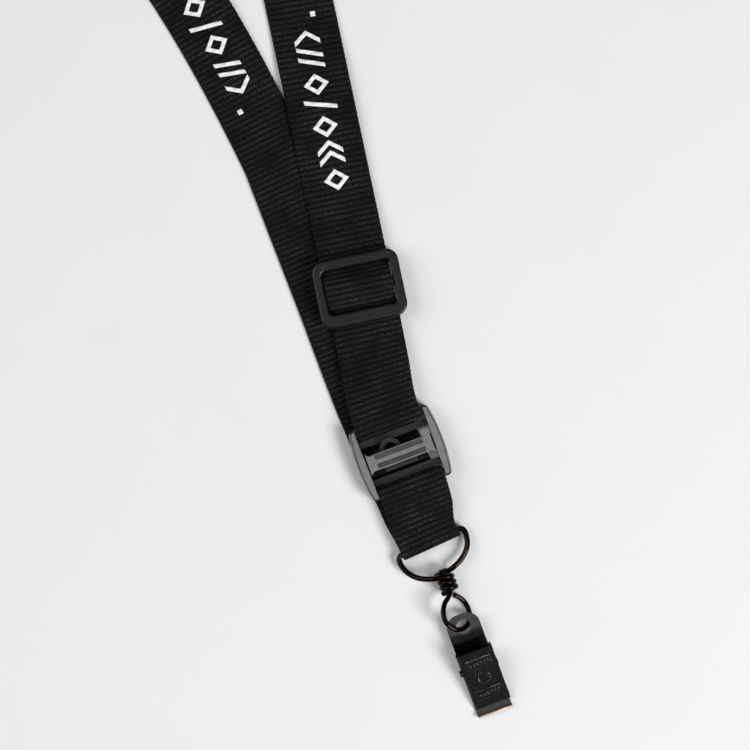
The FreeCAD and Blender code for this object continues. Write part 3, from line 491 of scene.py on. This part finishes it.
def ribbon(name, frames):
    """A strap with real ribs and rounded, slightly scalloped selvedges."""
    corners, weave = [], []
    for distance, middle, across, normal, width in frames:
        low = valley(distance)
        half = width / 2 - EDGE_SCALLOP * low
        thick = WEB_THICKNESS / 2 - RIB_DEPTH * low
        inner = half - SELVEDGE
        flat = (-inner, -inner / 2, 0.0, inner / 2, inner)
        shoulder = half - SELVEDGE_ROUND
        edge = ((shoulder, SELVEDGE_SHOULDER), (half, 0.0), (shoulder, -SELVEDGE_SHOULDER))
        ring = [(a, thick) for a in flat] + [(a, n * thick) for a, n in edge]
        ring += [(-a, -thick) for a in flat] + [(-a, -n * thick) for a, n in edge]
        for a, n in ring:
            corners.append(middle + across * a + normal * n)
            weave.append((a, distance))
    size = len(corners) // len(frames)
    faces = [tuple(reversed(range(size)))]
    for i in range(len(frames) - 1):
        for j in range(size):
            following = (j + 1) % size
            faces.append((
                i * size + j, i * size + following, (i + 1) * size + following, (i + 1) * size + j
            ))
    faces.append(tuple(range(len(corners) - size, len(corners))))
    return new_piece(name, corners, faces, WEBBING, weave)


def tube(name, line, diameter, finish, sides=24):
    """A round wire along a line, with its cut ends just softened."""
    radius = diameter / 2
    first = (line[1] - line[0]).normalized()
    last = (line[-1] - line[-2]).normalized()
    rings = [(line[0] - first * CUT_END_DEPTH * radius, CUT_END_SHARE)] + [(p, 1.0) for p in line]
    rings.append((line[-1] + last * CUT_END_DEPTH * radius, CUT_END_SHARE))
    aside = first.orthogonal().normalized()
    corners = []
    for i, (point, share) in enumerate(rings):
        along = (rings[min(i + 1, len(rings) - 1)][0] - rings[max(i - 1, 0)][0]).normalized()
        aside = (aside - along * aside.dot(along)).normalized()
        up = along.cross(aside)
        for j in range(sides):
            angle = 2 * math.pi * j / sides
            corners.append(point + (aside * math.cos(angle) + up * math.sin(angle)) * (radius * share))
    faces = [tuple(reversed(range(sides)))]
    for i in range(len(rings) - 1):
        for j in range(sides):
            following = (j + 1) % sides
            faces.append((
                i * sides + j, i * sides + following, (i + 1) * sides + following, (i + 1) * sides + j
            ))
    faces.append(tuple(range(len(corners) - sides, len(corners))))
    return new_piece(name, corners, faces, finish)


# ---------------------------------------------------------------- camera, lights and floor

camera = bpy.data.objects.new("camera", bpy.data.cameras.new("camera"))
camera.data.lens = 164.0
camera.location = place(1.08, 23.92, 1000.0)
camera.rotation_euler = (0.0, 0.0, math.radians(-20.5))
bpy.context.collection.objects.link(camera)
bpy.context.scene.camera = camera
bpy.context.scene.view_settings.view_transform = "Standard"

world = bpy.data.worlds.new("studio")
world.use_nodes = True
world.node_tree.nodes["Background"].inputs["Color"].default_value = colour("#f3f5f8")
world.node_tree.nodes["Background"].inputs["Strength"].default_value = 0.12
bpy.context.scene.world = world


def softbox(name, aim, offset, size, power):
    """A square soft light of this size in millimetres and power in watts, aimed from an offset."""
    lamp = bpy.data.lights.new(name, "AREA")
    lamp.size = size * MM
    lamp.energy = power
    made = bpy.data.objects.new(name, lamp)
    made.location = aim + Vector(offset) * MM
    made.rotation_euler = (-Vector(offset)).to_track_quat("-Z", "Y").to_euler()
    bpy.context.collection.objects.link(made)


AIM = place(1.0, 20.0)
softbox("key_light", AIM, (760.0, -990.0, 1050.0), 700.0, 24.6)
softbox("fill_light", AIM, (-1100.0, 700.0, 1200.0), 1400.0, 14.2)
softbox("top_light", AIM, (40.0, -200.0, 1500.0), 700.0, 1.6)

FLOOR_HALF = 2500.0
FLOOR_DROP = 0.05
floor_corners = [(x * FLOOR_HALF, y * FLOOR_HALF, 0.0) for x, y in ((-1, -1), (1, -1), (1, 1), (-1, 1))]
floor = new_piece("paper_floor", floor_corners, [(0, 1, 2, 3)], floor_material())
floor.location.z = -FLOOR_DROP * MM

# ---------------------------------------------------------------- the neck strap


def neck_frames():
    """The strap's frames along the route's own spline, rolled so that its lower edge rests."""
    curve = bpy.data.curves.new("neck_route", "CURVE")
    curve.dimensions = "3D"
    curve.resolution_u = 40
    spline = curve.splines.new("NURBS")
    spline.points.add(len(NECK_ROUTE) - 1)
    for point, (u, v, z) in zip(spline.points, NECK_ROUTE):
        point.co = (*place(u, v, z), 1.0)
    spline.order_u = 3
    spline.use_endpoint_u = True
    route = bpy.data.objects.new("neck_route", curve)
    line = bpy.data.meshes.new_from_object(route)
    points = [(vertex.co - ORIGIN) / MM for vertex in line.vertices]
    bpy.data.objects.remove(route)
    lean = math.atan(WEB_THICKNESS / WEB_WIDTH)
    diagonal = math.hypot(WEB_THICKNESS, WEB_WIDTH)
    stations = []
    for i, point in enumerate(points):
        ahead = points[min(i + 1, len(points) - 1)] - points[max(i - 1, 0)]
        turn = math.degrees(math.atan2(ahead.x, ahead.y))
        roll = max(0.0, math.asin(min(1.0, 2 * point.z / diagonal)) - lean)
        stations.append((point, side(turn, roll), WEB_WIDTH))
    return frames_along(stations)


neck = neck_frames()
neck_length = neck[-1][0]
neck_strap = ribbon("neck_strap", neck)
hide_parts("neck_strap_right", "neck_strap_back", "neck_strap_left")
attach(neck_strap, "neck_strap")

# ---------------------------------------------------------------- the legs and the loops

route_start, route_next = NECK_ROUTE[:2]
route_end = NECK_ROUTE[-1]
end_turn = math.degrees(math.atan2(route_next[0] - route_start[0], route_next[1] - route_start[1]))
above_slider = smooth([
    on_slider(SLIDER_HALF_LENGTH, THROUGH), on_slider(16.0, 2.2), on_slider(23.0, RETURN),
    station(14.84, 110.0, RETURN, SLIDER_TURN + 0.5), station(17.55, 128.0, BACK, end_turn - 0.6),
    station(*route_start, end_turn),
])
right_length = frames_along(above_slider)[-1][0]
right_leg = frames_along(above_slider, -right_length)
right_strap = ribbon("strap_above_slider", right_leg)
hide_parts("strap_above_slider")
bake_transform(right_strap)

LEFT_FOOT = (-1.9, -10.0)
left_leg = frames_along(smooth([
    station(*LEFT_FOOT, BACK), station(-3.0, 8.0, BACK), station(-3.45, 52.0, BACK),
    station(*route_end, -5.3),
]))
left_leg = [(-neck_length - left_leg[-1][0] + f[0], *f[1:]) for f in left_leg]
left_strap = ribbon("left_leg_lower", left_leg)
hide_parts("left_leg_lower")
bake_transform(left_strap)

WRAP_OUT = 12.9
adjuster = smooth(
    [on_slider(-SLIDER_HALF_LENGTH, RETURN), station(0.0, WRAP_OUT, RETURN)]
    + half_turn(0.0, BAR_WRAP, BAR_WRAP_Z, BAR_WRAP_RADIUS, -1)
    + [station(0.0, WRAP_OUT, FRONT), station(2.1, 26.0, 3.3, SLIDER_TURN / 2)]
    + [on_slider(-SLIDER_HALF_LENGTH, THROUGH)]
)
adjuster_strap = ribbon("adjuster_loop", frames_along(adjuster))
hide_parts("adjuster_loop")
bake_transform(adjuster_strap)

SEWN_RADIUS = 1.35
SEWN_Z = 2.95
SEWN_STEP = 0.2
sewn_back = [
    on_slider(1.3 + SEWN_RADIUS * math.cos(a), SEWN_Z + SEWN_RADIUS * math.sin(a))
    for a in (math.pi * (k / 6 - 0.5) for k in range(7))
]
sewn_front = [
    on_slider(-0.5 - SEWN_RADIUS * math.sin(a), SEWN_Z + SEWN_RADIUS * math.cos(a))
    for a in (math.pi * k / 8 for k in range(5))
]
sewn = smooth(
    [on_slider(-SLIDER_HALF_LENGTH, RETURN), on_slider(-4.0, RETURN)]
    + sewn_back + sewn_front + [on_slider(-1.85, 2.4)], SEWN_STEP
)
sewn_strap = ribbon("sewn_end", frames_along(sewn))
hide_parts("sewn_end")
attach(sewn_strap, "slider")

# The front layer of the strap over the slider's centre bar, as places along the slider and heights
HUMP = (
    (-10.0, 2.7), (-7.0, 2.7), (-5.4, 2.85), (-3.65, 4.1), (-1.9, 5.28), (0.4, 5.42), (2.7, 5.3),
    (4.45, 4.1), (6.2, 2.85), (7.6, 2.7), (10.0, 2.7),
)
hump_strap = ribbon("strap_over_bar", frames_along(smooth([on_slider(*p) for p in HUMP])))
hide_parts("strap_over_bar")
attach(hump_strap, "slider")


def by_ring(along, z):
    """A station on the fold, square to the ring's bar."""
    return station_from(RING_BAR, along, z, RING_TURN, FOLD_WIDTH)


lower = smooth(
    [station(-0.9, -16.2, RETURN, 3.0), station(0.0, -12.5, RETURN)]
    + half_turn(0.0, -BAR_WRAP, BAR_WRAP_Z, BAR_WRAP_RADIUS, 1)
    + [station(0.0, -12.5, FRONT), station(-0.5, -18.5, 3.6, -1.0), by_ring(2.5, FOLD_FRONT)]
    + half_turn(*RING_BAR, RING_Z, FOLD_RADIUS, -1, RING_TURN, FOLD_WIDTH)[::-1]
    + [by_ring(2.5, BACK), station(-1.4, -18.5, BACK), station(*LEFT_FOOT, BACK)]
)
lower_strap = ribbon("lower_strap", frames_along(lower))
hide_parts("lower_strap")
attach(lower_strap, "plug")

# ---------------------------------------------------------------- the print

INK_LIFT = 0.035
INK_FILM = 0.05
INK_STEP = 0.28
INK_COLUMNS = 5
STROKE = 1.15
PRINT_HALF_HEIGHT = 3.75
CHEVRON_REACH = 2.9
DIAMOND_REACH = 3.2
DOT_SIZE = 1.5
DOT_ACROSS = -3.2


def on_strap(frames, across, distance, lift):
    """A place on the strap's printed face."""
    step = frames[1][0] - frames[0][0]
    k = min(len(frames) - 2, max(0, int((distance - frames[0][0]) / step)))
    share = (distance - frames[k][0]) / step
    (_, a, side_a, normal_a, _), (_, b, side_b, normal_b, _) = frames[k:k + 2]
    height = WEB_THICKNESS / 2 - RIB_DEPTH * valley(distance) + lift
    return a.lerp(b, share) + side_a.lerp(side_b, share) * across + normal_a.lerp(normal_b, share) * height


def mark_print(name, frames, start, marks):
    """Ink marks on the strap. A mark is two edges, each a run of (across, along) corners."""
    corners, faces, weave = [], [], []
    for near, far in marks:
        rows = []
        for k in range(len(near) - 1):
            length = max(math.dist(near[k], near[k + 1]), math.dist(far[k], far[k + 1]))
            count = max(1, math.ceil(length / INK_STEP))
            last = count + 1 if k == len(near) - 2 else count
            for i in range(last):
                t = i / count
                near_point = Vector(near[k]).lerp(Vector(near[k + 1]), t)
                far_point = Vector(far[k]).lerp(Vector(far[k + 1]), t)
                rows.append((*near_point, *far_point))
        columns = INK_COLUMNS
        first = len(corners)
        for lift in (INK_LIFT, INK_LIFT - INK_FILM):
            for a0, s0, a1, s1 in rows:
                for j in range(columns):
                    t = j / (columns - 1)
                    across, along = a0 + (a1 - a0) * t, start + s0 + (s1 - s0) * t
                    corners.append(on_strap(frames, across, along, lift))
                    weave.append((across, along))
        layer = len(rows) * columns
        for i in range(len(rows) - 1):
            for j in range(columns - 1):
                quad = [first + i * columns + j, first + i * columns + j + 1]
                quad += [first + (i + 1) * columns + j + 1, first + (i + 1) * columns + j]
                faces.append(tuple(quad))
                faces.append(tuple(q + layer for q in reversed(quad)))
        rim = [first + j for j in range(columns)]
        rim += [first + i * columns + columns - 1 for i in range(1, len(rows))]
        rim += [first + (len(rows) - 1) * columns + j for j in reversed(range(columns - 1))]
        rim += [first + i * columns for i in reversed(range(1, len(rows) - 1))]
        for a, b in zip(rim, rim[1:] + rim[:1]):
            faces.append((b, a, a + layer, b + layer))
    return new_piece(name, corners, faces, INK, weave)


def slash(at, half=PRINT_HALF_HEIGHT, lean=2.6):
    """A stroke across the strap, its far end further along it."""
    near = [(-half, at), (half, at + lean)]
    return near, [(a, s + STROKE * 1.08) for a, s in near]


def chevron(at):
    """A pointed stroke across the strap."""
    near = [(-PRINT_HALF_HEIGHT, at), (0.0, at + CHEVRON_REACH), (PRINT_HALF_HEIGHT, at)]
    return near, [(a, s + STROKE * 1.3) for a, s in near]


def diamond(at):
    """An outlined diamond. The inner edge keeps the stroke's width."""
    half, middle = PRINT_HALF_HEIGHT, at + DIAMOND_REACH
    outer = [(-half, middle), (0.0, at), (half, middle), (0.0, at + 2 * DIAMOND_REACH), (-half, middle)]
    share = 1 - STROKE * math.hypot(half, DIAMOND_REACH) / (half * DIAMOND_REACH)
    return outer, [(a * share, middle + (s - middle) * share) for a, s in outer]


def dot(at):
    """A small square to one side of the strap's middle."""
    near = [(DOT_ACROSS - DOT_SIZE / 2, at), (DOT_ACROSS - DOT_SIZE / 2, at + DOT_SIZE)]
    return near, [(a + DOT_SIZE, s) for a, s in near]


PRINT_LENGTH = 53.0
PRINT_SPACING = 126.0
marks = [
    diamond(0.0), chevron(7.6), chevron(10.6), diamond(15.8), slash(23.6, 4.7), diamond(28.4),
    slash(36.2), slash(39.2), chevron(43.4), dot(PRINT_LENGTH - DOT_SIZE),
]
# Each mark is mirrored across the strap, and its edges change places so that its faces still point out
PRINT_MARKS = [([(-a, s) for a, s in far], [(-a, s) for a, s in near]) for near, far in marks]
first_print = right_leg[0][0] + 19.5
last_print = neck_length - 16.5 - PRINT_LENGTH
repeats = round((last_print - first_print) / PRINT_SPACING)
right_print = mark_print("print_right_leg", right_leg, first_print, PRINT_MARKS)
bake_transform(right_print)
for repeat in range(1, repeats + 1):
    start = first_print + (last_print - first_print) * repeat / repeats
    neck_print = mark_print(f"print_neck_{repeat}", neck, start, PRINT_MARKS)
    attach(neck_print, "neck_strap")

# ---------------------------------------------------------------- stitching

STITCH_THREAD = 0.26
TACK_HALF_WIDTH = 7.0
TACK_DEPTH = 0.45
TACK_STITCHES = 44


def bar_tack(name, node, body, middle, turn, z):
    """A close zigzag of thread over a thread core, across the strap."""
    t = math.radians(turn)
    across, along = side(turn), Vector((math.sin(t), math.cos(t), 0.0))
    centre = Vector((*middle, z))
    line = []
    for k in range(TACK_STITCHES + 1):
        reach = -TACK_HALF_WIDTH + 2 * TACK_HALF_WIDTH * k / TACK_STITCHES
        swing, lift = (TACK_DEPTH, 0.45) if k % 2 else (-TACK_DEPTH, 0.25)
        line.append(centre + across * reach + along * swing + Vector((0.0, 0.0, STITCH_THREAD * lift)))
    made = tube(name, line, STITCH_THREAD, THREAD, 8)
    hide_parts(node)
    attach(made, body)


slider_tack = on_slider(-3.1, 0.0)[0]
bar_tack("slider_stitching", "slider_bartack", "slider", slider_tack.xy, SLIDER_TURN, 2.15)
bar_tack("plug_stitching", "plug_bartack", "plug", (-0.2, -14.0), 0.0, 4.93)

# ---------------------------------------------------------------- the wires


def spring_line(points):
    """A wire's line, sprung smoothly through the given points."""
    return [s[0] for s in smooth([(Vector(p), side(0.0), 0.0) for p in points], WIRE_STEP)]


# The ring's wire starts in the coil, goes round the left side, under the fold and back into the coil
coil = []
coil_steps = round(COIL_TURNS * 36)
for k in range(coil_steps):
    share = COIL_TURNS * (1 - k / coil_steps)
    angle = math.pi / 2 - 2 * math.pi * share
    coil.append(Vector((
        SHANK_X + COIL_RADIUS * math.cos(angle), COIL_TOP - COIL_PITCH * share,
        SHANK_Z + COIL_RADIUS * math.sin(angle),
    )))
LEFT_LIMB = (
    (SHANK_X, COIL_TOP, SHANK_Z + COIL_RADIUS), (-3.0, -37.9, 4.85), (-5.9, -37.0, 4.1), (-8.6, -35.4, 3.1),
    (-10.5, -33.0, 2.4), (-11.25, -30.4, 2.05), (-11.15, -28.9, RING_Z), (-10.4, -28.12, RING_Z),
)
RIGHT_LIMB = (
    (8.1, -26.76, RING_Z), (9.05, -26.9, RING_Z), (9.6, -27.9, 2.0), (9.6, -29.6, 2.0), (9.0, -31.9, 2.1),
    (7.3, -34.1, 2.25), (4.7, -35.9, 2.45), (2.5, -36.75, 2.4), (1.0, -37.2, 1.35), (-0.5, -37.35, 0.95),
    (-1.9, -37.3, 1.5), (-2.5, -37.2, 2.9),
)
ring_line = coil + spring_line(LEFT_LIMB) + spring_line(RIGHT_LIMB)
ring = tube("swivel_ring", ring_line, RING_WIRE, WIRE)
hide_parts("swivel_ring")
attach(ring, "ring")


def on_eye(across, v):
    """A place in the eye's own plane, which is rolled about the shank."""
    roll = math.radians(EYE_ROLL)
    return Vector((SHANK_X + across * math.cos(roll), v, SHANK_Z - across * math.sin(roll)))


EYE_POINTS = (
    (0.0, -36.6), (0.0, -39.5), (0.0, -42.6), (-1.0, -43.9), (-3.6, -45.7), (-5.2, -48.2), (-5.2, -51.2),
    (-3.5, -53.4), (-1.0, -54.35), (1.5, -53.9), (3.2, -52.3), (3.75, -49.8), (3.2, -47.0), (1.8, -45.2),
    (0.7, -44.3),
)
eye_line = spring_line([on_eye(*p) for p in EYE_POINTS])
eye = tube("swivel_eye", eye_line, EYE_WIRE, WIRE)
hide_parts("swivel_eye")
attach(eye, "eye")
HEAD_DIAMETER = 2.6
head_line = [Vector((SHANK_X, v, SHANK_Z)) for v in (-36.15, -36.55)]
head = tube("shank_head", head_line, HEAD_DIAMETER, WIRE)
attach(head, "eye")

# ---------------------------------------------------------------- the clip's pressed lines and cut edge

COVER_TOP = (0.0, -61.6, 6.9)
COVER_SLOPE = math.radians(18.0)
COVER_HALF_WIDTH = 5.3
FRAME_INSET = 1.45
FRAME_DEPTH = 2.9
BAR_SPACING = 1.12
BAR_SLANT = 0.28
DIMPLE_RADIUS = 1.75
DIMPLE_Y = -8.45
PRESSED_WIRE = 0.32
BAR_WIRE = 0.42
DIMPLE_WIRE = 0.44
PRESSED_SIDES = 10


def on_cover(x, y, z):
    """A place on the cover, from its thumb edge down its slope."""
    u, v, height = COVER_TOP
    return Vector((
        u + x, v + y * math.cos(COVER_SLOPE) - z * math.sin(COVER_SLOPE),
        height + y * math.sin(COVER_SLOPE) + z * math.cos(COVER_SLOPE),
    ))


def pressed_line(name, points, width):
    """A raised line on the cover, through places on it."""
    made = tube(name, [on_cover(*p) for p in points], width, ENAMEL, PRESSED_SIDES)
    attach(made, "lever")


LINE_LIFT = 0.05
DIMPLE_LIFT = 0.03
half = COVER_HALF_WIDTH - FRAME_INSET
for panel, y, lean in (("upper", -2.25, 0.5), ("lower", -12.05, -0.5)):
    frame_corners = [(-half, y), (half, y), (half - 0.1, y - FRAME_DEPTH), (-half + lean, y - FRAME_DEPTH)]
    outline = [(*p, LINE_LIFT) for p in frame_corners[-1:] + frame_corners]
    pressed_line(f"cover_{panel}_frame", outline, PRESSED_WIRE)
    for k in range(6):
        x = (k - 2.5) * BAR_SPACING
        slant = BAR_SLANT if k < 3 else -BAR_SLANT
        bar = [(x - slant, y - 0.75, LINE_LIFT), (x + slant, y - 2.2, LINE_LIFT)]
        pressed_line(f"cover_{panel}_bar_{k + 1}", bar, BAR_WIRE)
dimple = [
    (DIMPLE_RADIUS * math.cos(a), DIMPLE_Y + DIMPLE_RADIUS * math.sin(a), DIMPLE_LIFT)
    for a in (2 * math.pi * k / 40 for k in range(41))
]
pressed_line("cover_dimple_rim", dimple, DIMPLE_WIRE)

CUT_EDGE_WIRE = 0.34
lip_v = (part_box("clip_base_plate")[0][1] - ORIGIN.y) / MM
cut_line = [Vector((u, lip_v + 0.12, 1.45)) for u in (-5.6, 4.8)]
bare_edge = tube("jaw_cut_edge", cut_line, CUT_EDGE_WIRE, bare_edge_material(), PRESSED_SIDES)
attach(bare_edge, "clip")

# ---------------------------------------------------------------- finishes on the CAD pieces

# Each buckle finish paints shade on the faces below its given heights and keeps the faces above pale as lit.
ARM = buckle_material("etched_nylon_painted_light_arm", 3.2, 4.0)
FINISHES = {
    "slider_frame": slider_material(),
    "buckle_socket": buckle_material("etched_nylon_painted_light_socket", 4.0, 4.5, True),
    "buckle_plug": buckle_material("etched_nylon_painted_light_plug", 3.9, 4.4),
    "latch_arm_left": ARM,
    "latch_arm_right": ARM,
    "clip_base_plate": ENAMEL,
    "clip_lever": ENAMEL,
    "pivot_pin": ENAMEL,
    "torsion_spring": spring_material(),
}
for node, finish in FINISHES.items():
    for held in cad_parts[node].material_slots:
        held.material = finish
